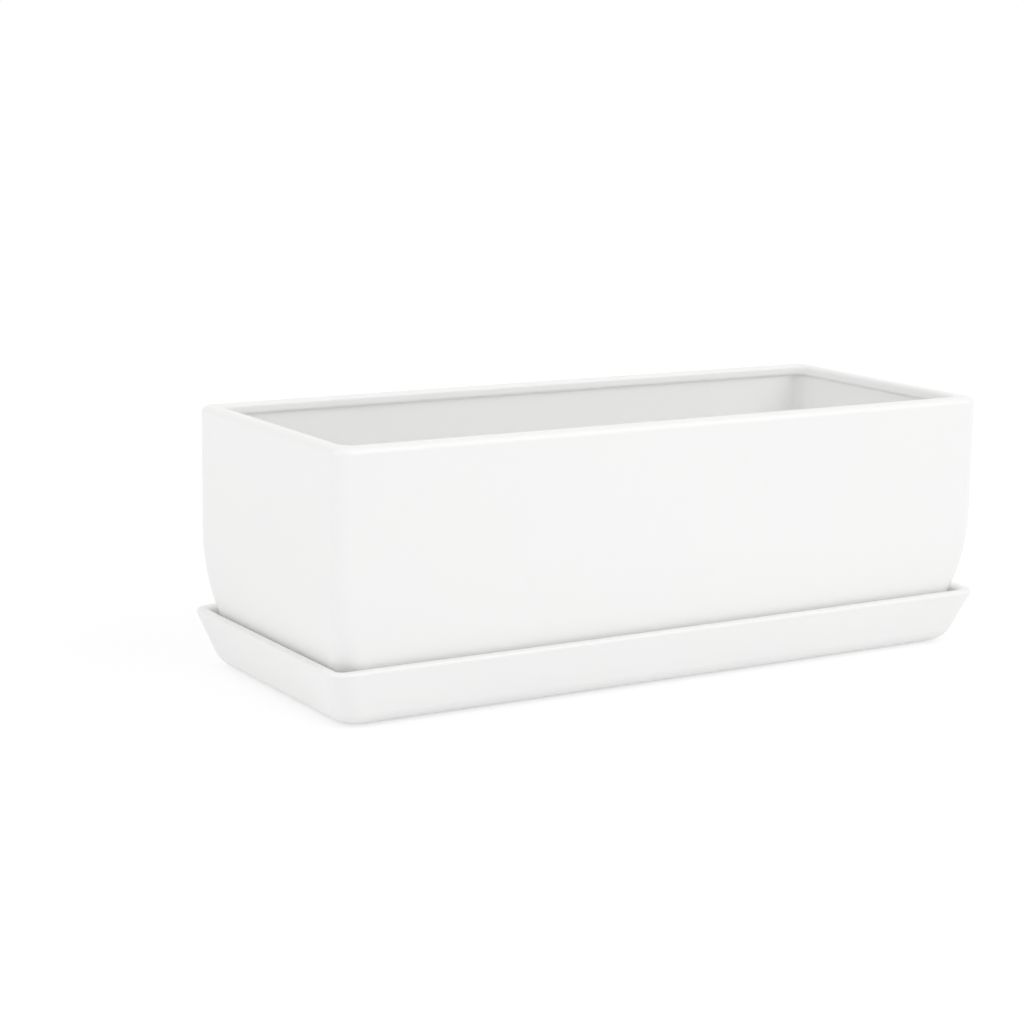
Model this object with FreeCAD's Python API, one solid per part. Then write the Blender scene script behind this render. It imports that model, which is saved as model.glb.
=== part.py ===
import FreeCAD, Part

# A rectangular glazed planter that stands in a matching saucer.
# Three loose mesh screens lie over the drain holes, and four felt pads sit under the saucer.
# Millimetres, +Z up. The origin is on the table, under the middle of the set.
# The long sides face -Y and +Y, and the ends face -X and +X.

import math
import os
from FreeCAD import Vector

# The set as a whole, measured over the planter's rim
rim_length = 355.6
rim_width = 142.24
set_height = 124.46
side_bow = 0.7

# The planter's wall, which turns inwards over its lower half
wall_thickness = 6.0
curve_rise = 56.6
base_turn = 10.3
curve_share = 0.845
rim_corner = 7.0
base_corner = 15.0
base_round = 6.0
planter_floor = 6.0
floor_round = 8.0

# The planter's rim, a lip that stands inwards over the wall
lip_overhang = 2.2
lip_depth = 5.4
lip_corner = 7.0
rim_round = 3.4
lip_round = 2.0
lip_under_round = 1.6

# The unglazed foot ring under the planter, and the notches that let water out of it
planter_foot = 3.0
foot_width = 5.0
foot_inset = 8.0
foot_bevel = 0.8
notch_width = 14.0
notch_spacing = 190.0

# The drain holes
drain_hole_diameter = 13.0
drain_hole_spacing = 104.0
drain_hole_round = 1.2
drain_holes = 3

# The saucer
rim_gap = 3.6
saucer_height = 27.6
saucer_wall = 4.4
saucer_corner = 10.0
saucer_floor = 6.0
saucer_base_round = 6.5
saucer_floor_round = 4.5
saucer_rim_round = 1.8
saucer_foot_width = 7.0
recess_bevel = 1.0

# The felt pads in the recess under the saucer
pad_diameter = 20.0
pad_thickness = 2.0
pad_proud = 0.4
pad_margin = 5.0

# The mesh screens
screen_pitch = 4.2
screen_thread = 1.3
screen_thickness = 1.0
screen_corner = 1.8
screen_gaps = 9

# How many bands make the wall's curve, a rounded edge and a rim, and how far a cutting tool runs past a face
curve_bands = 6
round_bands = 6
rim_bands = 4
overrun = 5.0
match_tolerance = 0.01

# Heights above the table
saucer_floor_top = pad_thickness + saucer_floor
base_height = saucer_floor_top + planter_foot
floor_top = base_height + planter_floor
curve_top = base_height + curve_rise
lip_bottom = set_height - lip_depth


def outline(inset, corner, height):
    """The rim's outline moved inwards: a rectangle with round corners and slightly bowed long sides."""
    half_length = rim_length / 2 - inset
    middle = rim_width / 2 + side_bow - inset
    bow_radius = (half_length ** 2 + side_bow ** 2) / (2 * side_bow)
    bow_centre = middle - bow_radius
    corner_x = half_length - corner
    corner_y = bow_centre + math.sqrt((bow_radius - corner) ** 2 - corner_x ** 2)
    turn = math.atan2(corner_y - bow_centre, corner_x)

    def point(x, y):
        return Vector(x, y, height)

    def on_corner(angle):
        return corner_x + corner * math.cos(angle), corner_y + corner * math.sin(angle)

    touch_x, touch_y = on_corner(turn)
    bend_x, bend_y = on_corner(turn / 2)
    edges = [
        Part.LineSegment(point(half_length, -corner_y), point(half_length, corner_y)),
        Part.Arc(point(half_length, corner_y), point(bend_x, bend_y), point(touch_x, touch_y)),
        Part.Arc(point(touch_x, touch_y), point(0, middle), point(-touch_x, touch_y)),
        Part.Arc(point(-touch_x, touch_y), point(-bend_x, bend_y), point(-half_length, corner_y)),
        Part.LineSegment(point(-half_length, corner_y), point(-half_length, -corner_y)),
        Part.Arc(point(-half_length, -corner_y), point(-bend_x, -bend_y), point(-touch_x, -touch_y)),
        Part.Arc(point(-touch_x, -touch_y), point(0, -middle), point(touch_x, -touch_y)),
        Part.Arc(point(touch_x, -touch_y), point(bend_x, -bend_y), point(half_length, -corner_y)),
    ]
    return Part.Wire([edge.toShape() for edge in edges])


def prism(inset, corner, low, high):
    """An upright block with the rim's outline moved inwards."""
    return Part.Face(outline(inset, corner, low)).extrude(Vector(0, 0, high - low))


def banded_block(sections):
    """A block lofted band by band through sections, each given as inset, corner radius and height."""
    return Part.makeLoft([outline(*section) for section in sections], True, True)


def quarter_round(radius, bands):
    """Points on a rounded edge: how far each lies from the side and from the end face that the edge joins."""
    angles = [math.pi / 2 * band / bands for band in range(bands + 1)]
    return [(radius * (1 - math.sin(angle)), radius * (1 - math.cos(angle))) for angle in angles]


def level_edges(solid, height, inset=0):
    """The edges that lie flat at one height, inside the rim's outline moved inwards."""
    found = []
    for edge in solid.Edges:
        box = edge.BoundBox
        flat = max(abs(box.ZMin - height), abs(box.ZMax - height)) < match_tolerance
        reach_x = max(-box.XMin, box.XMax) - rim_length / 2 + inset
        reach_y = max(-box.YMin, box.YMax) - rim_width / 2 - side_bow + inset
        if flat and max(reach_x, reach_y) < match_tolerance:
            found.append(edge)
    return found


def wall_inset(height):
    """How far the planter's outer wall stands inside its rim, at a height above the table."""
    turned = curve_share * max(curve_top - height, 0) / curve_rise
    full_turn = 1 - math.sqrt(1 - curve_share ** 2)
    return base_turn * (1 - math.sqrt(1 - turned ** 2)) / full_turn


def wall_corner(height):
    """The planter's corner radius in plan, which grows as the wall turns inwards."""
    turned = max(curve_top - height, 0) / curve_rise
    return rim_corner + (base_corner - rim_corner) * turned ** 2


def turned_sections(low, inwards, edge_round, corner_at):
    """Sections of the planter's curved wall, from a rounded lower edge up to where the wall stands upright."""
    sections = []
    for across, along in quarter_round(edge_round, round_bands):
        height = low + along
        sections.append((wall_inset(height) + inwards + across, corner_at(height), height))
    start = low + edge_round
    for band in range(1, curve_bands + 1):
        height = start + (curve_top - start) * band / curve_bands
        sections.append((wall_inset(height) + inwards, corner_at(height), height))
    return sections


def planter_outside():
    """The planter's outer form, with its rounded rim and base edge."""
    sections = turned_sections(base_height, 0, base_round, wall_corner)
    for across, along in quarter_round(rim_round, rim_bands):
        sections.append((along, rim_corner - along, set_height - across))
    return banded_block(sections)


def planter_inside():
    """The hollow for the soil, which is wider than the mouth, because the lip overhangs the wall."""

    def corner_at(height):
        return max(wall_corner(height) - wall_thickness, lip_corner)

    sections = turned_sections(floor_top, wall_thickness, floor_round, corner_at)
    sections.append((wall_thickness, corner_at(lip_bottom), lip_bottom))
    return banded_block(sections)


def planter_mouth():
    """The opening through the lip, rounded where it meets the top of the rim and the ledge below."""
    lip_inset = wall_thickness + lip_overhang
    sections = [(lip_inset - lip_under_round, lip_corner, lip_bottom - overrun)]
    for across, along in quarter_round(lip_under_round, rim_bands):
        sections.append((lip_inset - across, lip_corner, lip_bottom + along))
    for across, along in quarter_round(lip_round, rim_bands):
        sections.append((lip_inset - along, lip_corner, set_height - across))
    sections.append((lip_inset - lip_round, lip_corner, set_height + overrun))
    return banded_block(sections)


def foot_ring():
    """The ring that the planter stands on, cut through by notches under its long sides."""
    outer = wall_inset(base_height) + foot_inset
    outer_corner = wall_corner(base_height) - foot_width / 2
    ring = prism(outer, outer_corner, saucer_floor_top, base_height)
    ring = ring.cut(prism(outer + foot_width, outer_corner - foot_width / 2, saucer_floor_top, base_height))
    ring = ring.makeChamfer(foot_bevel, level_edges(ring, saucer_floor_top))
    for middle in (-notch_spacing / 2, notch_spacing / 2):
        corner = Vector(middle - notch_width / 2, -rim_width / 2, saucer_floor_top)
        ring = ring.cut(Part.makeBox(notch_width, rim_width, planter_foot, corner))
    return ring


def drain_places():
    """The places of the drain holes, in a row along the middle of the floor."""
    first = -drain_hole_spacing * (drain_holes - 1) / 2
    return [first + drain_hole_spacing * number for number in range(drain_holes)]


def drain_hole(x):
    """One drain hole's cutting tool, with the glaze's soft edge where it meets the floor."""
    radius = drain_hole_diameter / 2
    hole = Part.makeCylinder(radius, planter_floor + overrun, Vector(x, 0, base_height - overrun))
    lead = drain_hole_round
    funnel = Part.makeCone(radius, radius + lead, lead, Vector(x, 0, floor_top - lead))
    return hole.fuse(funnel)


def planter():
    """The planter: one casting with its lip, foot ring and drain holes."""
    body = planter_outside().cut(planter_inside()).cut(planter_mouth()).fuse(foot_ring())
    for x in drain_places():
        body = body.cut(drain_hole(x))
    return body


def saucer_lean():
    """How far the saucer's wall leans outwards for each millimetre of height, as the planter's wall does there."""
    turn = wall_inset(base_height) - wall_inset(saucer_height)
    return turn / (saucer_height - base_height)


def saucer_inset(height):
    """How far the saucer's inner wall stands inside the planter's rim."""
    return wall_inset(saucer_height) - rim_gap + saucer_lean() * (saucer_height - height)


def saucer_outside():
    """The saucer's outer form, a straight flared wall between a rounded base edge and a rounded rim."""
    sections = []
    for across, along in quarter_round(saucer_base_round, round_bands):
        height = pad_proud + along
        sections.append((saucer_inset(height) - saucer_wall + across, saucer_corner, height))
    for across, along in quarter_round(saucer_rim_round, rim_bands):
        height = saucer_height - across
        sections.append((saucer_inset(height) - saucer_wall + along, saucer_corner, height))
    return banded_block(sections)


def saucer_inside():
    """The saucer's well, which follows the planter's wall at a small gap."""
    inner_corner = saucer_corner - saucer_wall / 2
    sections = []
    for across, along in quarter_round(saucer_floor_round, round_bands):
        height = saucer_floor_top + along
        sections.append((saucer_inset(height) + across, inner_corner, height))
    for across, along in quarter_round(saucer_rim_round, rim_bands):
        height = saucer_height - across
        sections.append((saucer_inset(height) - along, inner_corner, height))
    sections.append((sections[-1][0], inner_corner, saucer_height + overrun))
    return banded_block(sections)


def recess_inset():
    """How far the recess under the saucer stands inside the planter's rim."""
    return saucer_inset(pad_proud) - saucer_wall + saucer_base_round + saucer_foot_width


def saucer():
    """The saucer: one casting with a shallow recess underneath that leaves a foot all round."""
    body = saucer_outside().cut(saucer_inside())
    recess = prism(recess_inset(), saucer_corner, 0, pad_thickness)
    recess = recess.makeChamfer(recess_bevel, level_edges(recess, pad_thickness))
    return body.cut(recess)


def felt_pad(side_x, side_y):
    """One round felt pad, in a corner of the recess."""
    from_edge = recess_inset() + recess_bevel + pad_margin + pad_diameter / 2
    x = side_x * (rim_length / 2 - from_edge)
    y = side_y * (rim_width / 2 - from_edge)
    return Part.makeCylinder(pad_diameter / 2, pad_thickness, Vector(x, y, 0))


def rounded_square(side, corner, height):
    """A square outline with round corners, centred on the vertical axis."""
    low = Vector(-side / 2, -side / 2, height)
    block = Part.makeBox(side, side, screen_thickness, low)
    upright = [edge for edge in block.Edges if abs(edge.BoundBox.ZLength - screen_thickness) < match_tolerance]
    rounded = block.makeFillet(corner, upright)
    return [face for face in rounded.Faces if abs(face.CenterOfMass.z - height) < match_tolerance][0].OuterWire


def mesh_screen(x):
    """One square of plastic mesh: a holed face, raised to the mesh's thickness."""
    side = screen_gaps * screen_pitch + screen_thread
    gap = screen_pitch - screen_thread
    wires = [rounded_square(side, screen_corner, floor_top)]
    first = -side / 2 + screen_thread
    for row in range(screen_gaps):
        for column in range(screen_gaps):
            corner = Vector(first + column * screen_pitch, first + row * screen_pitch, floor_top)
            wires.append(Part.makePlane(gap, gap, corner).OuterWire)
    face = Part.Face(wires, "Part::FaceMakerBullseye")
    screen = face.extrude(Vector(0, 0, screen_thickness))
    screen.translate(Vector(x, 0, 0))
    return screen


def main():
    nodes = {"pot": planter(), "saucer": saucer()}
    for place, x in zip(("left", "middle", "right"), drain_places()):
        nodes["drain_screen_" + place] = mesh_screen(x)
    for depth, side_y in (("front", -1), ("back", 1)):
        for place, side_x in (("left", -1), ("right", 1)):
            nodes["felt_pad_" + depth + "_" + place] = felt_pad(side_x, side_y)
    os.makedirs("parts", exist_ok=True)
    for name, solid in nodes.items():
        solid.exportStep("parts/" + name + ".step")
        box = solid.BoundBox
        print(name, solid.ShapeType, len(solid.Solids), solid.isValid(), round(solid.Volume / 1000, 2), "cm3",
              [round(v, 2) for v in (box.XMin, box.YMin, box.ZMin, box.XMax, box.YMax, box.ZMax)],
              len(solid.tessellate(0.1)[1]), "facets")


main()
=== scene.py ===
import math

import bpy
from mathutils import Matrix, Vector


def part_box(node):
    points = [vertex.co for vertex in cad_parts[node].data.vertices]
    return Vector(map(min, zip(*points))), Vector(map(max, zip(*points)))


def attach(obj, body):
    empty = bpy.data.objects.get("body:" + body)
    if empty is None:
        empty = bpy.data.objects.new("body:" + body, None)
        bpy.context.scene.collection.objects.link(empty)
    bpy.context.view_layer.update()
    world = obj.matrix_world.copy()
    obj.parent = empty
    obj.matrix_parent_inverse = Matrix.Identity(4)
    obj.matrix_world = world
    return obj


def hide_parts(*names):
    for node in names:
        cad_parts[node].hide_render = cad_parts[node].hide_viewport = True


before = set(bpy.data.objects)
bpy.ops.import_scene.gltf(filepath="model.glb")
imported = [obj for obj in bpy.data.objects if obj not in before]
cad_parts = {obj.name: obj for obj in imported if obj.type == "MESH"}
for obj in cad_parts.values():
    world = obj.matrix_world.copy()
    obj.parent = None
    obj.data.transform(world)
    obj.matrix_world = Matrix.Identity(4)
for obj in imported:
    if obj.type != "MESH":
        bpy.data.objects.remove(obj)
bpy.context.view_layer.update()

# A long white planter of slip-cast earthenware in its saucer, on a white table.
# Lengths are in millimetres up to the point where a mesh or a node takes them in metres.
MM = 0.001

# The planter's rim and heights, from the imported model
pot_low, pot_high = (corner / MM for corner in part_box("pot"))
saucer_low, saucer_high = (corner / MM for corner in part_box("saucer"))
SIDE_BOW = 0.7
RIM_LENGTH = pot_high.x - pot_low.x
RIM_WIDTH = pot_high.y - pot_low.y - 2 * SIDE_BOW
SET_HEIGHT = pot_high.z
SAUCER_FLOOR_TOP = pot_low.z
SAUCER_HEIGHT = saucer_high.z
PAD_PROUD = saucer_low.z
FLOOR_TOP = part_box("drain_screen_middle")[0].z / MM

# The planter's wall, lip and foot ring
WALL = 6.0
FOOT_HEIGHT = 3.0
CURVE_RISE = 56.6
BASE_TURN = 10.3
CURVE_SHARE = 0.845
RIM_CORNER = 7.0
BASE_CORNER = 15.0
BASE_ROUND = 6.0
FLOOR_ROUND = 8.0
LIP_OVERHANG = 2.2
LIP_DEPTH = 5.4
LIP_CORNER = 7.0
RIM_ROUND = 3.4
LIP_ROUND = 2.0
LIP_UNDER_ROUND = 1.6
LEDGE_FILLET = 0.5
FOOT_WIDTH = 5.0
FOOT_INSET = 8.0
FOOT_ROUND = 0.8
NOTCH_WIDTH = 14.0
NOTCH_SPACING = 190.0
NOTCH_ROUND = 1.0
DRAIN_DIAMETER = 13.0
DRAIN_ROUND = 1.2
DRAIN_HOLES = 3
BASE_HEIGHT = SAUCER_FLOOR_TOP + FOOT_HEIGHT
CURVE_TOP = BASE_HEIGHT + CURVE_RISE
LIP_BOTTOM = SET_HEIGHT - LIP_DEPTH
LIP_INSET = WALL + LIP_OVERHANG

# The saucer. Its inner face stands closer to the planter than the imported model's, as in the photograph.
RIM_GAP = 1.6
SAUCER_WALL = 6.4
SAUCER_CORNER = 10.0
SAUCER_BASE_ROUND = 6.5
SAUCER_FLOOR_ROUND = 4.5
SAUCER_RIM_ROUND = 1.8
SAUCER_FOOT_WIDTH = 7.0
RECESS_BEVEL = 1.0
RECESS_TOP = 2.0
FOOT_EDGE_ROUND = 0.35

# How uneven the castings are, how long their ripples, and how much warmer thin glaze is, from 0 to 1
POT_UNEVENNESS = 0.12
SAUCER_UNEVENNESS = 0.1
RIPPLE_LENGTH = 60
THIN_GLAZE_WARMTH = 0.5

# How finely the forms are drawn
ROUND_STEPS = 10
DRAIN_STEPS = 8
FOOT_STEPS = 5
EDGE_STEPS = 4
CURVE_STEPS = 26
CORNER_STEPS = 14
SIDE_STEPS = 30
DISC_STEPS = 20
NOTCH_SIDE_STEPS = 6
NOTCH_RISES = (0.4, 0.7, 0.9, 1.0)
SUPPORT = 0.35
LONGEST_STEP = 9.0
MERGE_DISTANCE = 0.002
SHARP_ANGLE = math.radians(34)
# How strongly the steps along a side gather near its corners: 0 is even, and 1 is the most
SIDE_EASING = 0.94
# The sides' bow fades out towards the middle of the floor, over the inner 1 / BOW_FADE of the width
BOW_FADE = 4.0
# A face with more than this share of bare clay has the clay's material
BARE_SHARE = 0.9


def linear(code):
    """An sRGB hex colour as the linear values that a shader takes."""
    values = [int(code[start:start + 2], 16) / 255 for start in (1, 3, 5)]
    return tuple(v / 12.92 if v <= 0.04045 else ((v + 0.055) / 1.055) ** 2.4 for v in values) + (1.0,)


def add(tree, kind, inputs=None, **settings):
    """Adds one node. Settings are its properties, and inputs holds a value, output or node for a socket."""
    node = tree.nodes.new(kind)
    for name, value in settings.items():
        setattr(node, name, value)
    for socket, value in (inputs or {}).items():
        if isinstance(value, bpy.types.Node):
            value = value.outputs[0]
        if isinstance(value, bpy.types.NodeSocket):
            tree.links.new(value, node.inputs[socket])
        else:
            node.inputs[socket].default_value = value
    return node


def calc(tree, operation, *values, **settings):
    """One node of arithmetic on the values that follow."""
    return add(tree, "ShaderNodeMath", dict(enumerate(values)), operation=operation, **settings)


def new_tree(name, **sockets):
    """An empty geometry tree with a geometry input and output and the named inputs for its sizes."""
    tree = bpy.data.node_groups.new(name, "GeometryNodeTree")
    tree.interface.new_socket("Geometry", in_out="INPUT", socket_type="NodeSocketGeometry")
    tree.interface.new_socket("Geometry", in_out="OUTPUT", socket_type="NodeSocketGeometry")
    for socket, kind in sockets.items():
        tree.interface.new_socket(socket, in_out="INPUT", socket_type="NodeSocket" + kind)
    return tree


def seeded(tree, place, seed):
    """Where a piece reads its noise: at its own place, moved along by its seed."""
    shift = add(tree, "ShaderNodeCombineXYZ", {"X": seed})
    return add(tree, "ShaderNodeVectorMath", {0: place, 1: shift})


def sunk(tree, geometry, depth):
    """A surface moved inwards along its normals."""
    outwards = calc(tree, "MULTIPLY", depth, -1.0)
    offset = add(tree, "ShaderNodeVectorMath", {0: add(tree, "GeometryNodeInputNormal"), "Scale": outwards},
                 operation="SCALE")
    return add(tree, "GeometryNodeSetPosition", {"Geometry": geometry, "Offset": offset})


def centred_row(tree, count, spacing, axis):
    """Points in a row along an axis, with their middle at the origin."""
    last = calc(tree, "SUBTRACT", count, 1.0)
    start = calc(tree, "MULTIPLY", last, spacing)
    start = calc(tree, "MULTIPLY", start, -0.5)
    return add(tree, "GeometryNodeMeshLine", {
        "Count": count,
        "Start Location": add(tree, "ShaderNodeCombineXYZ", {axis: start}),
        "Offset": add(tree, "ShaderNodeCombineXYZ", {axis: spacing})})


def joined(tree, *parts):
    """Several geometries as one."""
    whole = add(tree, "GeometryNodeJoinGeometry")
    for part in parts:
        tree.links.new(part.outputs[0], whole.inputs[0])
    return whole


def dressed(tree, geometry, material):
    """A geometry without instances, shaded smooth and in one material."""
    real = add(tree, "GeometryNodeRealizeInstances", {"Geometry": geometry})
    smooth = add(tree, "GeometryNodeSetShadeSmooth", {"Geometry": real})
    return add(tree, "GeometryNodeSetMaterial", {"Geometry": smooth, "Material": material})


def made_by(tree, name, mesh, **inputs):
    """The plain mesh object that a tree makes out of a starting mesh."""
    piece = bpy.data.objects.new(name, mesh)
    bpy.context.scene.collection.objects.link(piece)
    modifier = piece.modifiers.new(name, "NODES")
    modifier.node_group = tree
    for item in tree.interface.items_tree:
        if item.item_type == "SOCKET" and item.in_out == "INPUT" and item.name in inputs:
            modifier[item.identifier] = inputs[item.name]
    settled(piece)
    return piece


def settled(piece):
    """Turns a piece's modifiers into its plain mesh, with sharp edges only where the form turns sharply."""
    bpy.context.view_layer.update()
    depsgraph = bpy.context.evaluated_depsgraph_get()
    mesh = bpy.data.meshes.new_from_object(piece.evaluated_get(depsgraph), depsgraph=depsgraph)
    piece.modifiers.clear()
    piece.data = mesh
    mesh.name = piece.name
    mesh.set_sharp_from_angle(angle=SHARP_ANGLE)


def sections_mesh(name, sections):
    """A mesh that carries sections to a tree: their places, how thin the glaze is and where clay is bare."""
    mesh = bpy.data.meshes.new(name)
    points = [(inset * MM, corner * MM, height * MM) for inset, corner, height, *_ in sections]
    mesh.from_pydata(points, [], [])
    thin = mesh.attributes.new("glaze_thin", "FLOAT", "POINT")
    bare = mesh.attributes.new("bare_clay", "FLOAT", "POINT")
    for number, (_, _, _, thinness, clay) in enumerate(sections):
        thin.data[number].value = thinness
        bare.data[number].value = clay
    return mesh


def drawn_out(sections):
    """Adds sections along straight stretches, with one close to each end so that the rounds shade cleanly."""
    full = [sections[0]]
    for start, end in zip(sections, sections[1:]):
        length = math.hypot(end[0] - start[0], end[2] - start[2])
        shares = []
        if length > 4 * SUPPORT:
            count = max(1, math.ceil((length - 2 * SUPPORT) / LONGEST_STEP))
            near = SUPPORT / length
            shares = [near + (1 - 2 * near) * step / count for step in range(count + 1)]
        for share in shares + [1.0]:
            full.append(tuple(a + (b - a) * share for a, b in zip(start, end)))
    return full


def quarter_round(radius, steps=ROUND_STEPS):
    """Points on a rounded edge: how far each lies from the side and from the end face that the edge joins."""
    angles = [math.pi / 2 * step / steps for step in range(steps + 1)]
    return [(radius * (1 - math.sin(angle)), radius * (1 - math.cos(angle))) for angle in angles]


def wall_inset(height):
    """How far the planter's outer wall stands inside its rim."""
    turned = CURVE_SHARE * max(CURVE_TOP - height, 0) / CURVE_RISE
    full_turn = 1 - math.sqrt(1 - CURVE_SHARE ** 2)
    return BASE_TURN * (1 - math.sqrt(1 - turned ** 2)) / full_turn


def wall_corner(height):
    """The planter's corner radius in plan, which grows as the wall turns inwards."""
    turned = max(CURVE_TOP - height, 0) / CURVE_RISE
    return RIM_CORNER + (BASE_CORNER - RIM_CORNER) * turned ** 2


def turned_wall(low, inwards, edge_round, corner_at):
    """Sections up the planter's curved wall, from a rounded lower edge to where the wall stands upright."""
    sections = []
    for across, along in quarter_round(edge_round):
        height = low + along
        sections.append((wall_inset(height) + inwards + across, corner_at(height), height, 0, 0))
    start = low + edge_round
    for step in range(1, CURVE_STEPS + 1):
        height = start + (CURVE_TOP - start) * step / CURVE_STEPS
        sections.append((wall_inset(height) + inwards, corner_at(height), height, 0, 0))
    return sections


def pot_sections():
    """The planter's whole skin, from the middle of its underside round the rim to the middle of its floor."""
    outer_foot = wall_inset(BASE_HEIGHT) + FOOT_INSET
    inner_foot = outer_foot + FOOT_WIDTH
    foot_corner = wall_corner(BASE_HEIGHT) - FOOT_WIDTH / 2
    inner_corner = foot_corner - FOOT_WIDTH / 2
    sections = [(RIM_WIDTH / 2, 0, BASE_HEIGHT, 0, 0), (inner_foot, inner_corner, BASE_HEIGHT, 0, 0)]
    foot = []
    for across, along in quarter_round(FOOT_ROUND, FOOT_STEPS):
        foot.append((outer_foot + across, foot_corner, SAUCER_FLOOR_TOP + along, 0, 1))
    for across, along in reversed(quarter_round(FOOT_ROUND, FOOT_STEPS)):
        sections.append((inner_foot - across, inner_corner, SAUCER_FLOOR_TOP + along, 0, 1))
    sections += foot
    sections.append((outer_foot, foot_corner, BASE_HEIGHT, 0, 0))
    sections += turned_wall(BASE_HEIGHT, 0, BASE_ROUND, wall_corner)
    for across, along in quarter_round(RIM_ROUND):
        sections.append((along, RIM_CORNER - along, SET_HEIGHT - across, 1 - across / RIM_ROUND, 0))
    for across, along in reversed(quarter_round(LIP_ROUND)):
        sections.append((LIP_INSET - along, LIP_CORNER, SET_HEIGHT - across, 1 - across / LIP_ROUND, 0))
    for across, along in reversed(quarter_round(LIP_UNDER_ROUND)):
        sections.append((LIP_INSET - across, LIP_CORNER, LIP_BOTTOM + along, across / LIP_UNDER_ROUND, 0))

    def inner_wall_corner(height):
        return max(wall_corner(height) - WALL, LIP_CORNER)

    for across, along in quarter_round(LEDGE_FILLET, EDGE_STEPS):
        sections.append((WALL + LEDGE_FILLET - along, LIP_CORNER, LIP_BOTTOM - LEDGE_FILLET + across, 0, 0))
    sections += reversed(turned_wall(FLOOR_TOP, WALL, FLOOR_ROUND, inner_wall_corner))
    sections.append((RIM_WIDTH / 2, 0, FLOOR_TOP, 0, 0))
    return drawn_out(sections)


def saucer_inset(height):
    """How far the saucer's inner wall stands inside the planter's rim."""
    turn = wall_inset(BASE_HEIGHT) - wall_inset(SAUCER_HEIGHT)
    lean = turn / (SAUCER_HEIGHT - BASE_HEIGHT)
    return wall_inset(SAUCER_HEIGHT) - RIM_GAP + lean * (SAUCER_HEIGHT - height)


def saucer_sections():
    """The saucer's whole skin, from the middle of its underside round the rim to the middle of its well."""
    base_inset = saucer_inset(PAD_PROUD) - SAUCER_WALL + SAUCER_BASE_ROUND
    recess_inset = base_inset + SAUCER_FOOT_WIDTH
    sections = [
        (RIM_WIDTH / 2, 0, RECESS_TOP, 0, 0),
        (recess_inset + RECESS_BEVEL, SAUCER_CORNER, RECESS_TOP, 0, 0),
        (recess_inset, SAUCER_CORNER, RECESS_TOP - RECESS_BEVEL, 0, 0),
    ]
    for across, along in reversed(quarter_round(FOOT_EDGE_ROUND, EDGE_STEPS)):
        sections.append((recess_inset - across, SAUCER_CORNER, PAD_PROUD + along, 0, 1))
    for across, along in quarter_round(SAUCER_BASE_ROUND):
        height = PAD_PROUD + along
        clay = 0 if along else 1
        sections.append((saucer_inset(height) - SAUCER_WALL + across, SAUCER_CORNER, height, 0, clay))
    for across, along in quarter_round(SAUCER_RIM_ROUND):
        height = SAUCER_HEIGHT - across
        thin = 1 - across / SAUCER_RIM_ROUND
        sections.append((saucer_inset(height) - SAUCER_WALL + along, SAUCER_CORNER, height, thin, 0))
    inner_corner = SAUCER_CORNER - SAUCER_WALL
    for across, along in reversed(quarter_round(SAUCER_RIM_ROUND)):
        height = SAUCER_HEIGHT - across
        thin = 1 - across / SAUCER_RIM_ROUND
        sections.append((saucer_inset(height) - along, inner_corner, height, thin, 0))
    for across, along in reversed(quarter_round(SAUCER_FLOOR_ROUND)):
        height = SAUCER_FLOOR_TOP + along
        sections.append((saucer_inset(height) + across, inner_corner, height, 0, 0))
    sections.append((RIM_WIDTH / 2, 0, SAUCER_FLOOR_TOP, 0, 0))
    return drawn_out(sections)


def cutter_sections(corner, levels):
    """Sections of a closed cutter, each level given as inset and height."""
    return [(inset, max(corner - inset, 0), height, 0, 0) for inset, height in levels]


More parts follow.
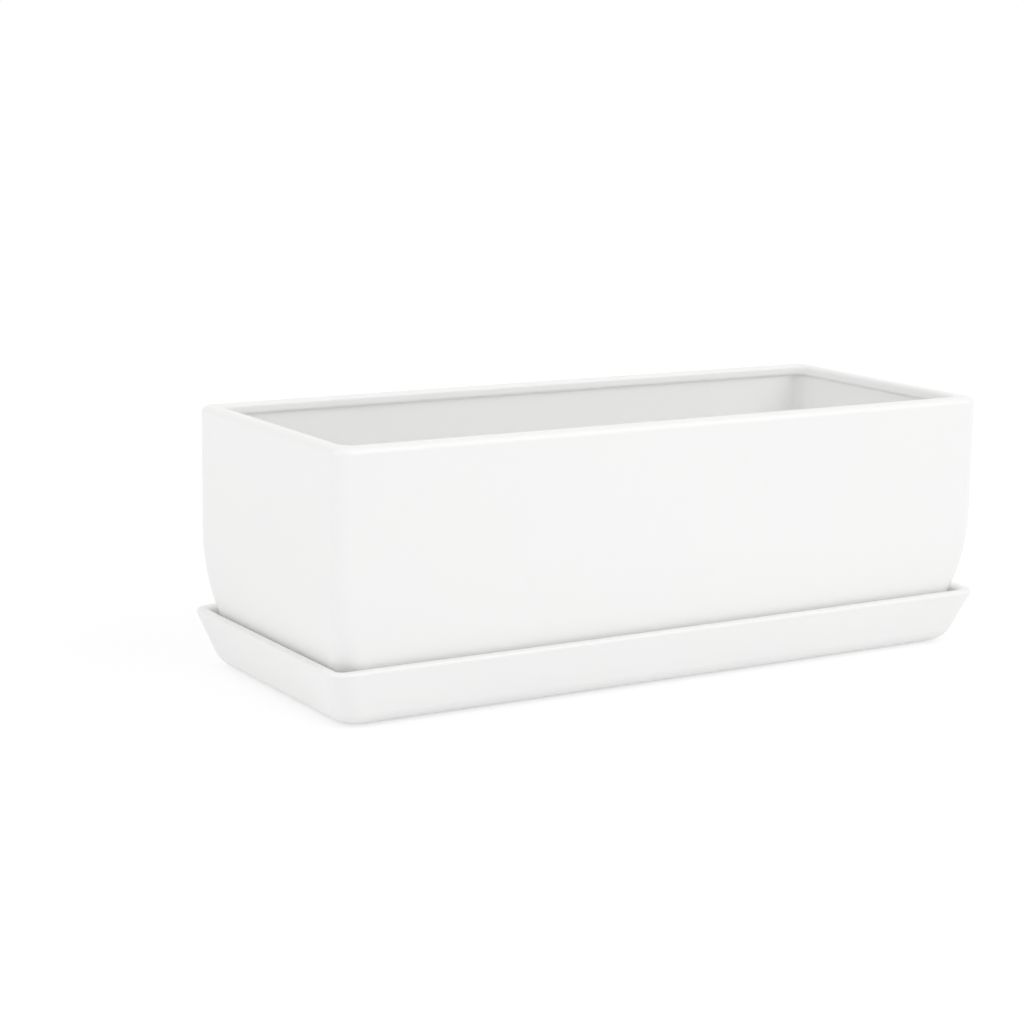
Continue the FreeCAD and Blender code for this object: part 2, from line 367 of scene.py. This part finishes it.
def section_shell_tree():
    """A tree that skins rounded rectangles, one for each point of the mesh that comes in, in a row of copies.

    A point's x is the section's inset, y its corner radius and z its height.
    """
    tree = new_tree("section_shell", half_length="Float", half_width="Float", side_bow="Float",
                    corner_steps="Int", side_steps="Int", unevenness="Float", ripple="Float", seed="Int",
                    copies="Int", spacing="Float", glaze="Material", clay="Material")
    given = add(tree, "NodeGroupInput").outputs

    # Which section a vertex belongs to, and which quarter and step of the outline
    size = add(tree, "GeometryNodeAttributeDomainSize", {"Geometry": given["Geometry"]}, component="MESH")
    quarter_steps = calc(tree, "ADD", given["corner_steps"], given["side_steps"])
    around = calc(tree, "MULTIPLY_ADD", quarter_steps, 4.0, 1.0)
    grid = add(tree, "GeometryNodeMeshGrid",
               {"Vertices X": size.outputs["Point Count"], "Vertices Y": around})
    index = add(tree, "GeometryNodeInputIndex")
    row = calc(tree, "DIVIDE", index, around)
    row = calc(tree, "FLOOR", row)
    column = calc(tree, "MODULO", index, around)
    quarter = calc(tree, "DIVIDE", column, quarter_steps)
    quarter = calc(tree, "FLOOR", quarter)
    step = calc(tree, "MODULO", column, quarter_steps)

    # The outline's direction at a corner, and how far along a side, with the steps closer near the corners
    turn = calc(tree, "DIVIDE", step, given["corner_steps"])
    turn = calc(tree, "MINIMUM", turn, 1.0)
    past = calc(tree, "SUBTRACT", step, given["corner_steps"])
    along = calc(tree, "DIVIDE", past, given["side_steps"])
    along = calc(tree, "MAXIMUM", along, 0.0)
    wave = calc(tree, "MULTIPLY", along, 2 * math.pi)
    wave = calc(tree, "SINE", wave)
    along = calc(tree, "MULTIPLY_ADD", wave, -SIDE_EASING / (2 * math.pi), along)
    angle = calc(tree, "ADD", quarter, turn)
    angle = calc(tree, "MULTIPLY", angle, math.pi / 2)
    out_x = calc(tree, "COSINE", angle)
    out_y = calc(tree, "SINE", angle)

    # The corner that the vertex belongs to, as signs, sliding to the next corner along a side
    signs = []
    for ahead in (0.5, 1.5):
        middle = calc(tree, "ADD", quarter, ahead)
        middle = calc(tree, "MULTIPLY", middle, math.pi / 2)
        for wave_kind in ("COSINE", "SINE"):
            sign = calc(tree, wave_kind, middle)
            signs.append(calc(tree, "MULTIPLY", sign, math.sqrt(2)))
    sign_x = add(tree, "ShaderNodeMix", {"Factor": along, "A": signs[0], "B": signs[2]})
    sign_y = add(tree, "ShaderNodeMix", {"Factor": along, "A": signs[1], "B": signs[3]})

    # The place of the vertex
    position = add(tree, "GeometryNodeInputPosition")
    section = add(tree, "GeometryNodeSampleIndex",
                  {"Geometry": given["Geometry"], "Value": position, "Index": row}, data_type="FLOAT_VECTOR")
    section = add(tree, "ShaderNodeSeparateXYZ", {0: section}).outputs
    reach = calc(tree, "ADD", section["X"], section["Y"])
    reach_x = calc(tree, "SUBTRACT", given["half_length"], reach)
    x = calc(tree, "MULTIPLY", out_x, section["Y"])
    x = calc(tree, "MULTIPLY_ADD", sign_x, reach_x, x)
    bow = calc(tree, "DIVIDE", x, given["half_length"])
    bow = calc(tree, "POWER", bow, 2.0)
    bow = calc(tree, "SUBTRACT", 1.0, bow)
    bow = calc(tree, "MULTIPLY", bow, given["side_bow"])
    room = calc(tree, "SUBTRACT", given["half_width"], section["X"])
    room = calc(tree, "DIVIDE", room, given["half_width"])
    room = calc(tree, "MULTIPLY", room, BOW_FADE, use_clamp=True)
    reach_y = calc(tree, "SUBTRACT", given["half_width"], reach)
    reach_y = calc(tree, "MULTIPLY_ADD", bow, room, reach_y)
    y = calc(tree, "MULTIPLY", out_y, section["Y"])
    y = calc(tree, "MULTIPLY_ADD", sign_y, reach_y, y)
    place = add(tree, "ShaderNodeCombineXYZ", {"X": x, "Y": y, "Z": section["Z"]})
    shell = add(tree, "GeometryNodeSetPosition", {"Geometry": grid.outputs["Mesh"], "Position": place})
    for name in ("glaze_thin", "bare_clay"):
        carried = add(tree, "GeometryNodeInputNamedAttribute", {"Name": name}, data_type="FLOAT")
        value = add(tree, "GeometryNodeSampleIndex",
                    {"Geometry": given["Geometry"], "Value": carried.outputs["Attribute"], "Index": row})
        shell = add(tree, "GeometryNodeStoreNamedAttribute",
                    {"Geometry": shell, "Name": name, "Value": value})
    shell = add(tree, "GeometryNodeMergeByDistance", {"Geometry": shell, "Distance": MERGE_DISTANCE * MM})
    shell = add(tree, "GeometryNodeFlipFaces", {"Mesh": shell})

    # The faint unevenness of a hand-finished casting, always inwards
    grain = calc(tree, "DIVIDE", 1.0, given["ripple"])
    ripples = add(tree, "ShaderNodeTexNoise",
                  {"Vector": seeded(tree, position, given["seed"]), "Scale": grain, "Detail": 1.0})
    shell = sunk(tree, shell, calc(tree, "MULTIPLY", ripples, given["unevenness"]))

    # Copies in a row, glazed all over but for the bare clay
    row_points = centred_row(tree, given["copies"], given["spacing"], "X")
    shell = add(tree, "GeometryNodeInstanceOnPoints", {"Points": row_points, "Instance": shell})
    shell = dressed(tree, shell, given["glaze"])
    bare = add(tree, "GeometryNodeInputNamedAttribute", {"Name": "bare_clay"}, data_type="FLOAT")
    is_bare = add(tree, "FunctionNodeCompare", {0: bare.outputs["Attribute"], 1: BARE_SHARE})
    shell = add(tree, "GeometryNodeSetMaterial",
                {"Geometry": shell, "Selection": is_bare, "Material": given["clay"]})
    add(tree, "NodeGroupOutput", {"Geometry": shell})
    return tree


def new_material(name, ior):
    """A material, its tree, its surface shader and the place on the object at which its noises are read."""
    material = bpy.data.materials.new(name)
    material.use_nodes = True
    tree = material.node_tree
    surface = tree.nodes["Principled BSDF"]
    surface.inputs["IOR"].default_value = ior
    return material, tree, surface, add(tree, "ShaderNodeTexCoord").outputs["Object"]


def noise(tree, spot, grain, detail):
    """A noise whose forms are about as large as the grain, in millimetres."""
    return add(tree, "ShaderNodeTexNoise", {"Vector": spot, "Scale": 1 / (grain * MM), "Detail": detail})


def tinted(tree, share, first, second):
    """A colour between two others, each a hex code or a socket."""
    first, second = (linear(end) if isinstance(end, str) else end for end in (first, second))
    return add(tree, "ShaderNodeMix", {"Factor": share, "A": first, "B": second},
               data_type="RGBA").outputs["Result"]


def white_glaze():
    """Opaque white tin glaze on slip-cast earthenware, dipped and fired.

    It is bright and nearly even, with a soft satin gloss, and a little thinner and warmer on the rim's edges.
    """
    material, tree, surface, spot = new_material("white_tin_glaze", 1.52)
    clouding = noise(tree, spot, 70, 0.0)
    body = tinted(tree, clouding, "#FAFAFA", "#FBFBFA")
    thin = add(tree, "ShaderNodeAttribute", attribute_name="glaze_thin").outputs["Fac"]
    warmth = calc(tree, "MULTIPLY", thin, THIN_GLAZE_WARMTH)
    tree.links.new(tinted(tree, warmth, body, "#F9F8F5"), surface.inputs["Base Color"])
    haze = noise(tree, spot, 60, 0.0)
    rough = add(tree, "ShaderNodeMapRange", {"Value": haze, "To Min": 0.26, "To Max": 0.34})
    tree.links.new(rough.outputs[0], surface.inputs["Roughness"])

    # The skin of a fired glaze: a broad and very slight swell
    swell = noise(tree, spot, 26, 0.0)
    bump = add(tree, "ShaderNodeBump", {"Height": swell, "Strength": 1.0, "Distance": 0.05 * MM})
    tree.links.new(bump.outputs[0], surface.inputs["Normal"])
    return material


def bare_clay():
    """Fired earthenware, wiped free of glaze so that it doesn't stick in the kiln: matt, warm and sandy."""
    material, tree, surface, spot = new_material("bare_earthenware", 1.5)
    tone = noise(tree, spot, 9, 4.0)
    grit = noise(tree, spot, 0.5, 3.0)
    bump = add(tree, "ShaderNodeBump", {"Height": grit, "Strength": 0.6, "Distance": 0.12 * MM})
    rough = add(tree, "ShaderNodeMapRange", {"Value": grit, "To Min": 0.78, "To Max": 0.95})
    tree.links.new(tinted(tree, tone, "#E9E1D2", "#D9CDBA"), surface.inputs["Base Color"])
    tree.links.new(rough.outputs[0], surface.inputs["Roughness"])
    tree.links.new(bump.outputs[0], surface.inputs["Normal"])
    return material


# The screens over the drain holes: extruded polyethylene net, cut to a square
SCREEN_PITCH = 4.2
SCREEN_THREAD = 1.3
SCREEN_TRIM = 0.2
SCREEN_GAPS = 9
STRAND_DEPTH = 0.6
STRAND_STEPS = 60
STRAND_SIDES = 10
STRAND_WAVER = 0.35
WAVER_LENGTH = 8


def black_polyethylene():
    """Extruded polyethylene net: near black from carbon, waxy, half matt and faintly uneven."""
    material, tree, surface, spot = new_material("black_polyethylene_net", 1.51)
    dust = noise(tree, spot, 3, 4.0)
    lines = noise(tree, spot, 0.4, 2.0)
    bump = add(tree, "ShaderNodeBump", {"Height": lines, "Strength": 0.4, "Distance": 0.05 * MM})
    rough = add(tree, "ShaderNodeMapRange", {"Value": dust, "To Min": 0.42, "To Max": 0.6})
    tree.links.new(tinted(tree, dust, "#1B1C1C", "#2C2D2C"), surface.inputs["Base Color"])
    tree.links.new(rough.outputs[0], surface.inputs["Roughness"])
    tree.links.new(bump.outputs[0], surface.inputs["Normal"])
    return material


def net_tree():
    """A tree that lays two layers of strands over each other, at the one point of the mesh that comes in."""
    tree = new_tree("extruded_net", side="Float", pitch="Float", thread="Float", depth="Float",
                    thickness="Float", strands="Int", waver="Float", seed="Int", plastic="Material")
    given = add(tree, "NodeGroupInput").outputs
    half = calc(tree, "MULTIPLY", given["side"], 0.5)
    back = calc(tree, "MULTIPLY", half, -1.0)
    strand = add(tree, "GeometryNodeCurvePrimitiveLine",
                 {"Start": add(tree, "ShaderNodeCombineXYZ", {"X": back}),
                  "End": add(tree, "ShaderNodeCombineXYZ", {"X": half})})
    strand = add(tree, "GeometryNodeResampleCurve", {"Curve": strand, "Count": STRAND_STEPS})
    ring = add(tree, "GeometryNodeCurvePrimitiveCircle", {"Resolution": STRAND_SIDES, "Radius": 0.5})
    ring_size = add(tree, "ShaderNodeCombineXYZ", {"X": given["thread"], "Y": given["depth"], "Z": 1.0})
    ring = add(tree, "GeometryNodeTransform", {"Geometry": ring.outputs["Curve"], "Scale": ring_size})
    strand = add(tree, "GeometryNodeCurveToMesh", {"Curve": strand, "Profile Curve": ring, "Fill Caps": True})
    points = centred_row(tree, given["strands"], given["pitch"], "Y")
    layer = add(tree, "GeometryNodeInstanceOnPoints", {"Points": points, "Instance": strand})
    layer = add(tree, "GeometryNodeRealizeInstances", {"Geometry": layer})
    low = calc(tree, "MULTIPLY", given["depth"], 0.5)
    high = calc(tree, "SUBTRACT", given["thickness"], low)
    under = add(tree, "GeometryNodeTransform",
                {"Geometry": layer, "Translation": add(tree, "ShaderNodeCombineXYZ", {"Z": low})})
    over = add(tree, "GeometryNodeTransform",
               {"Geometry": layer, "Rotation": (0, 0, math.pi / 2),
                "Translation": add(tree, "ShaderNodeCombineXYZ", {"Z": high})})
    net = joined(tree, under, over)

    # The strands wander a little sideways between the welds
    spot = seeded(tree, add(tree, "GeometryNodeInputPosition"), given["seed"])
    waver = noise(tree, spot, WAVER_LENGTH, 0.0).outputs["Color"]
    shift = add(tree, "ShaderNodeVectorMath", {0: waver, 1: (0.5, 0.5, 0.5)}, operation="SUBTRACT")
    shift = add(tree, "ShaderNodeVectorMath", {0: shift, 1: (1.0, 1.0, 0.0)}, operation="MULTIPLY")
    shift = add(tree, "ShaderNodeVectorMath", {0: shift, "Scale": given["waver"]}, operation="SCALE")
    net = add(tree, "GeometryNodeSetPosition", {"Geometry": net, "Offset": shift})
    place = add(tree, "GeometryNodeInstanceOnPoints", {"Points": given["Geometry"], "Instance": net})
    add(tree, "NodeGroupOutput", {"Geometry": dressed(tree, place, given["plastic"])})
    return tree


# The felt pads. A fibre's arc is measured in fibre lengths, and the density is in fibres per square millimetre.
FELT_ROUND = 0.5
FELT_UNEVENNESS = 0.25
FELT_RAISED_SHARE = 0.35
FELT_RINGS = (0.8, 0.6, 0.4, 0.2, 0.1)
FIBRE_LENGTH = 1.1
FIBRE_THICKNESS = 0.05
FIBRE_DENSITY = 0.9
FIBRE_STEPS = 4
FIBRE_RADIUS = 0.6
FIBRE_SWEEP = 1.6
FIBRE_TILT = (0.4, 1.2, 0.0)
FIBRE_SHIFT = (-0.5, 0.0, 0.0)
FIBRE_MOST_SPIN = (6.28, 6.28, 6.28)


def wool_felt():
    """Pressed wool felt, die-cut: a matt warm grey with lighter and darker flecks and a soft sheen."""
    material, tree, surface, spot = new_material("pressed_wool_felt", 1.46)
    surface.inputs["Roughness"].default_value = 0.95
    surface.inputs["Sheen Weight"].default_value = 0.4
    surface.inputs["Sheen Roughness"].default_value = 0.6
    flecks = noise(tree, spot, 0.7, 5.0)
    flecks = add(tree, "ShaderNodeMapRange", {"Value": flecks, "From Min": 0.35, "From Max": 0.65})
    matting = noise(tree, spot, 0.45, 6.0)
    bump = add(tree, "ShaderNodeBump", {"Height": matting, "Strength": 0.9, "Distance": 0.25 * MM})
    tree.links.new(tinted(tree, flecks, "#A39E97", "#CFCBC4"), surface.inputs["Base Color"])
    tree.links.new(bump.outputs[0], surface.inputs["Normal"])
    return material


def felt_tree():
    """A tree that roughens a die-cut disc and lets short fibres stand out of it."""
    tree = new_tree("felt_fibres", density="Float", fibre_length="Float", fibre_thickness="Float",
                    roughness="Float", low="Float", high="Float", seed="Int", felt="Material")
    given = add(tree, "NodeGroupInput").outputs
    spot = seeded(tree, add(tree, "GeometryNodeInputPosition"), given["seed"])
    depth = calc(tree, "ADD", noise(tree, spot, 1.2, 3.0), -FELT_RAISED_SHARE)
    depth = calc(tree, "MULTIPLY", depth, given["roughness"])
    disc = sunk(tree, given["Geometry"], depth)

    # One fibre of length 1
    fibre = add(tree, "GeometryNodeCurveArc",
                {"Resolution": FIBRE_STEPS, "Radius": FIBRE_RADIUS, "Sweep Angle": FIBRE_SWEEP})
    fibre = add(tree, "GeometryNodeTransform",
                {"Geometry": fibre.outputs["Curve"], "Rotation": FIBRE_TILT, "Translation": FIBRE_SHIFT})
    ring = add(tree, "GeometryNodeCurvePrimitiveCircle",
               {"Resolution": 3, "Radius": given["fibre_thickness"]})
    slimness = calc(tree, "DIVIDE", 1.0, given["fibre_length"])
    ring_size = add(tree, "ShaderNodeCombineXYZ", {"X": slimness, "Y": slimness, "Z": 1.0})
    ring = add(tree, "GeometryNodeTransform", {"Geometry": ring.outputs["Curve"], "Scale": ring_size})
    fibre = add(tree, "GeometryNodeCurveToMesh", {"Curve": fibre, "Profile Curve": ring, "Fill Caps": True})

    # Fibres all over the disc, each turned its own way
    points = add(tree, "GeometryNodeDistributePointsOnFaces",
                 {"Mesh": disc, "Density": given["density"], "Seed": given["seed"]})
    spin = add(tree, "FunctionNodeRandomValue", {0: (0, 0, 0), 1: FIBRE_MOST_SPIN, "Seed": given["seed"]},
               data_type="FLOAT_VECTOR")
    length = add(tree, "ShaderNodeCombineXYZ", {axis: given["fibre_length"] for axis in "XYZ"})
    fibres = add(tree, "GeometryNodeInstanceOnPoints",
                 {"Points": points.outputs["Points"], "Instance": fibre, "Rotation": spin, "Scale": length})
    fibres = add(tree, "GeometryNodeRealizeInstances", {"Geometry": fibres})
    pad = joined(tree, disc, fibres)

    # Nothing stands below the table or above the recess
    place = add(tree, "ShaderNodeSeparateXYZ", {0: add(tree, "GeometryNodeInputPosition")}).outputs
    height = add(tree, "ShaderNodeClamp", {"Value": place["Z"], "Min": given["low"], "Max": given["high"]})
    place = add(tree, "ShaderNodeCombineXYZ", {"X": place["X"], "Y": place["Y"], "Z": height})
    pad = add(tree, "GeometryNodeSetPosition", {"Geometry": pad, "Position": place})
    add(tree, "NodeGroupOutput", {"Geometry": dressed(tree, pad, given["felt"])})
    return tree


def standing_for(piece, node, body):
    """Puts a finished piece in the place of a CAD node, on that node's body."""
    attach(piece, body)
    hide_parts(node)


def cut_out(piece, cutters):
    """Cuts pieces out of another one and throws the cutters away."""
    for cutter in cutters:
        modifier = piece.modifiers.new(cutter.name, "BOOLEAN")
        modifier.operation = "DIFFERENCE"
        modifier.solver = "EXACT"
        modifier.object = cutter
    settled(piece)
    for cutter in cutters:
        bpy.data.objects.remove(cutter)


def drain_levels(wide):
    """The levels of a cutter for a drain hole, with the glaze's soft edge at the floor."""
    low = BASE_HEIGHT - FOOT_HEIGHT
    high = FLOOR_TOP + DRAIN_ROUND
    edge = [(DRAIN_ROUND - along, FLOOR_TOP - across)
            for across, along in quarter_round(DRAIN_ROUND, DRAIN_STEPS)]
    return [(wide, low), (DRAIN_ROUND, low)] + edge + [(0, high), (wide, high)]


def notch_levels(half_notch):
    """The levels of a cutter for a notch that lets water out of the foot ring."""
    low = SAUCER_FLOOR_TOP - FOOT_HEIGHT
    high = BASE_HEIGHT - FOOT_ROUND / 4
    side_top = high - NOTCH_ROUND
    top = [(NOTCH_ROUND - math.sqrt(NOTCH_ROUND ** 2 - rise ** 2), side_top + rise) for rise in NOTCH_RISES]
    return [(half_notch, low), (0, low), (0, side_top)] + top + [(half_notch, high)]


def glazed_pieces():
    """The planter and the saucer."""
    shell = section_shell_tree()
    glaze = white_glaze()
    clay = bare_clay()
    outline = {"half_length": RIM_LENGTH / 2 * MM, "half_width": RIM_WIDTH / 2 * MM,
               "side_bow": SIDE_BOW * MM, "corner_steps": CORNER_STEPS, "side_steps": SIDE_STEPS,
               "ripple": RIPPLE_LENGTH * MM, "copies": 1, "spacing": 0.0, "glaze": glaze, "clay": clay}
    saucer = made_by(shell, "glazed_saucer", sections_mesh("glazed_saucer", saucer_sections()),
                     unevenness=SAUCER_UNEVENNESS * MM, seed=4, **outline)
    pot = made_by(shell, "glazed_pot", sections_mesh("glazed_pot", pot_sections()),
                  unevenness=POT_UNEVENNESS * MM, seed=1, **outline)

    cutter = {"side_bow": 0.0, "unevenness": 0.0, "ripple": 1.0, "seed": 0, "glaze": glaze, "clay": clay}
    wide = DRAIN_DIAMETER / 2 + DRAIN_ROUND
    drain_spacing = (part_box("drain_screen_right")[0].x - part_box("drain_screen_left")[0].x) / (DRAIN_HOLES - 1)
    drains = made_by(shell, "drains", sections_mesh("drains", cutter_sections(wide, drain_levels(wide))),
                     half_length=wide * MM, half_width=wide * MM, corner_steps=DISC_STEPS, side_steps=1,
                     copies=DRAIN_HOLES, spacing=drain_spacing, **cutter)
    half_notch = NOTCH_WIDTH / 2
    notches = cutter_sections(0, notch_levels(half_notch))
    notches = made_by(shell, "notches", sections_mesh("notches", notches),
                      half_length=half_notch * MM, half_width=RIM_WIDTH / 2 * MM, corner_steps=1,
                      side_steps=NOTCH_SIDE_STEPS, copies=2, spacing=NOTCH_SPACING * MM, **cutter)
    cut_out(pot, [drains, notches])
    standing_for(pot, "pot", "pot")
    standing_for(saucer, "saucer", "saucer")


def point_mesh(name, point):
    """A mesh of one point, for a tree to build at."""
    mesh = bpy.data.meshes.new(name)
    mesh.from_pydata([point], [], [])
    return mesh


def net_screens():
    """One net screen over each drain hole."""
    tree = net_tree()
    plastic = black_polyethylene()
    for seed, place in enumerate(("left", "middle", "right")):
        node = "drain_screen_" + place
        low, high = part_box(node)
        middle = (low + high) / 2
        screen = made_by(tree, "net_screen_" + place, point_mesh(node, (middle.x, middle.y, low.z)),
                         side=high.x - low.x - SCREEN_TRIM * MM, pitch=SCREEN_PITCH * MM,
                         thread=(SCREEN_THREAD - SCREEN_TRIM) * MM, depth=STRAND_DEPTH * MM,
                         thickness=high.z - low.z, strands=SCREEN_GAPS + 1, waver=STRAND_WAVER * MM,
                         seed=seed, plastic=plastic)
        standing_for(screen, node, "screen_" + place)


def felt_pads():
    """Four die-cut felt pads, stuck into the saucer's recess."""
    shell = section_shell_tree()
    tree = felt_tree()
    felt = wool_felt()
    corners = ("front_left", "front_right", "back_left", "back_right")
    for seed, corner in enumerate(corners, 1):
        node = "felt_pad_" + corner
        low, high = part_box(node)
        middle = (low + high) / 2
        radius = (high.x - low.x) / 2 / MM
        bottom, top = low.z / MM, high.z / MM
        levels = [(radius, bottom)] + [(share * radius, bottom) for share in FELT_RINGS]
        for across, along in reversed(quarter_round(FELT_ROUND, EDGE_STEPS)):
            levels.append((along, bottom + across))
        levels += [(0, top), (radius, top)]
        disc = made_by(shell, "disc", sections_mesh("disc", cutter_sections(radius, levels)),
                       half_length=radius * MM, half_width=radius * MM, side_bow=0.0, corner_steps=DISC_STEPS,
                       side_steps=1, unevenness=0.0, ripple=1.0, seed=0, copies=1, spacing=0.0,
                       glaze=felt, clay=felt)
        disc.data.transform(Matrix.Translation((middle.x, middle.y, 0)))
        pad = made_by(tree, "felt_disc_" + corner, disc.data, density=FIBRE_DENSITY / MM ** 2,
                      fibre_length=FIBRE_LENGTH * MM, fibre_thickness=FIBRE_THICKNESS / 2 * MM,
                      roughness=FELT_UNEVENNESS * MM, low=low.z, high=high.z, seed=seed, felt=felt)
        bpy.data.objects.remove(disc)
        standing_for(pad, node, "saucer")


# The camera, fitted to the photograph's edges: place, direction and framing in its 1024 pixel frame
CAMERA_PLACE = Vector((-645.3, -976.1, 296.5))
CAMERA_YAW = 0.5575
CAMERA_PITCH = -0.1963
CAMERA_ROLL = 0.0173
FOCAL_PIXELS = 2465.4
CENTRE_PIXELS = (532.3, 523.1)
FRAME_PIXELS = 1024
SENSOR = 36.0
# The nearest and the farthest that it sees, in metres
CLIP_START = 0.05
CLIP_END = 50.0


def camera():
    """The camera at the photograph's place."""
    data = bpy.data.cameras.new("camera")
    data.sensor_width = SENSOR
    data.lens = FOCAL_PIXELS / FRAME_PIXELS * SENSOR
    data.shift_x = (FRAME_PIXELS / 2 - CENTRE_PIXELS[0]) / FRAME_PIXELS
    data.shift_y = (CENTRE_PIXELS[1] - FRAME_PIXELS / 2) / FRAME_PIXELS
    data.clip_start = CLIP_START
    data.clip_end = CLIP_END
    ahead = Vector((math.sin(CAMERA_YAW) * math.cos(CAMERA_PITCH),
                    math.cos(CAMERA_YAW) * math.cos(CAMERA_PITCH), math.sin(CAMERA_PITCH)))
    level = ahead.cross(Vector((0, 0, 1))).normalized()
    above = level.cross(ahead)
    right = math.cos(CAMERA_ROLL) * level + math.sin(CAMERA_ROLL) * above
    top = math.cos(CAMERA_ROLL) * above - math.sin(CAMERA_ROLL) * level
    turned = Matrix((right, top, -ahead)).transposed().to_4x4()
    viewer = bpy.data.objects.new("camera", data)
    viewer.matrix_world = Matrix.Translation(CAMERA_PLACE * MM) @ turned
    bpy.context.scene.collection.objects.link(viewer)
    bpy.context.scene.camera = viewer


# The studio, in metres and watts
FLOOR_SIZE = 8.0
# How far from the set the table keeps its shading, and where it has turned plain white
NEAR_TABLE = 0.25
FAR_TABLE = 0.70
# The table's own light, and how much of what is seen of the table is that light near the set
TABLE_GLOW = 1.12
NEAR_GLOW_SHARE = 0.62
# The sky's strength as light, and as what is seen
SKY_LIGHT = 0.675
SKY_SEEN = 1.0
# Lamps: name, place, power and side of the lit square
SOFT_LAMPS = (
    ("lamp_front_right", Vector((0.9, -1.4, 1.3)), 10.2, 1.4),
    ("lamp_left", Vector((-1.8, -0.3, 1.2)), 7.2, 1.4),
    ("lamp_overhead", Vector((0.0, 0.3, 2.0)), 2.0, 1.6),
)


def seen_directly(tree):
    """One for rays from the camera, off a gloss or through glass, and 0 for light that falls on things."""
    path = add(tree, "ShaderNodeLightPath").outputs
    direct = calc(tree, "MAXIMUM", path["Is Camera Ray"], path["Is Glossy Ray"])
    return calc(tree, "MAXIMUM", direct, path["Is Transmission Ray"])


def white_table():
    """A matt white that keeps the object's shadow near the set and turns plain white farther out."""
    material = bpy.data.materials.new("white_table")
    material.use_nodes = True
    tree = material.node_tree
    surface = tree.nodes["Principled BSDF"]
    surface.inputs["Base Color"].default_value = linear("#F8F8F8")
    surface.inputs["Roughness"].default_value = 0.8
    place = add(tree, "ShaderNodeTexCoord").outputs["Object"]
    away = add(tree, "ShaderNodeVectorMath", {0: place}, operation="LENGTH").outputs["Value"]
    own_light = add(tree, "ShaderNodeMapRange", {"Value": away, "From Min": NEAR_TABLE, "From Max": FAR_TABLE,
                                                 "To Min": NEAR_GLOW_SHARE, "To Max": 1.0})
    share = calc(tree, "MULTIPLY", seen_directly(tree), own_light)
    glow = add(tree, "ShaderNodeEmission", {"Color": (1, 1, 1, 1), "Strength": TABLE_GLOW})
    both = add(tree, "ShaderNodeMixShader", {0: share, 1: surface.outputs[0], 2: glow})
    tree.links.new(both.outputs[0], tree.nodes["Material Output"].inputs["Surface"])
    return material


def studio():
    """A white table without an edge in view, under an even white sky with three broad soft lamps."""
    scene = bpy.context.scene
    scene.view_settings.view_transform = "Standard"
    mesh = bpy.data.meshes.new("table")
    half = FLOOR_SIZE / 2
    corners = [(-half, -half, 0), (half, -half, 0), (half, half, 0), (-half, half, 0)]
    mesh.from_pydata(corners, [], [(0, 1, 2, 3)])
    floor = bpy.data.objects.new("table", mesh)
    scene.collection.objects.link(floor)
    mesh.materials.append(white_table())

    world = bpy.data.worlds.new("studio")
    world.use_nodes = True
    scene.world = world
    tree = world.node_tree
    tree.nodes.clear()
    strength = add(tree, "ShaderNodeMix", {"Factor": seen_directly(tree), "A": SKY_LIGHT, "B": SKY_SEEN})
    sky = add(tree, "ShaderNodeBackground", {"Color": (1, 1, 1, 1), "Strength": strength})
    add(tree, "ShaderNodeOutputWorld", {"Surface": sky})

    for name, place, energy, size in SOFT_LAMPS:
        lamp = bpy.data.lights.new(name, "AREA")
        lamp.shape = "SQUARE"
        lamp.size = size
        lamp.energy = energy
        holder = bpy.data.objects.new(name, lamp)
        turned = place.to_track_quat("Z", "Y").to_matrix().to_4x4()
        holder.matrix_world = Matrix.Translation(place) @ turned
        scene.collection.objects.link(holder)


camera()
studio()
glazed_pieces()
net_screens()
felt_pads()
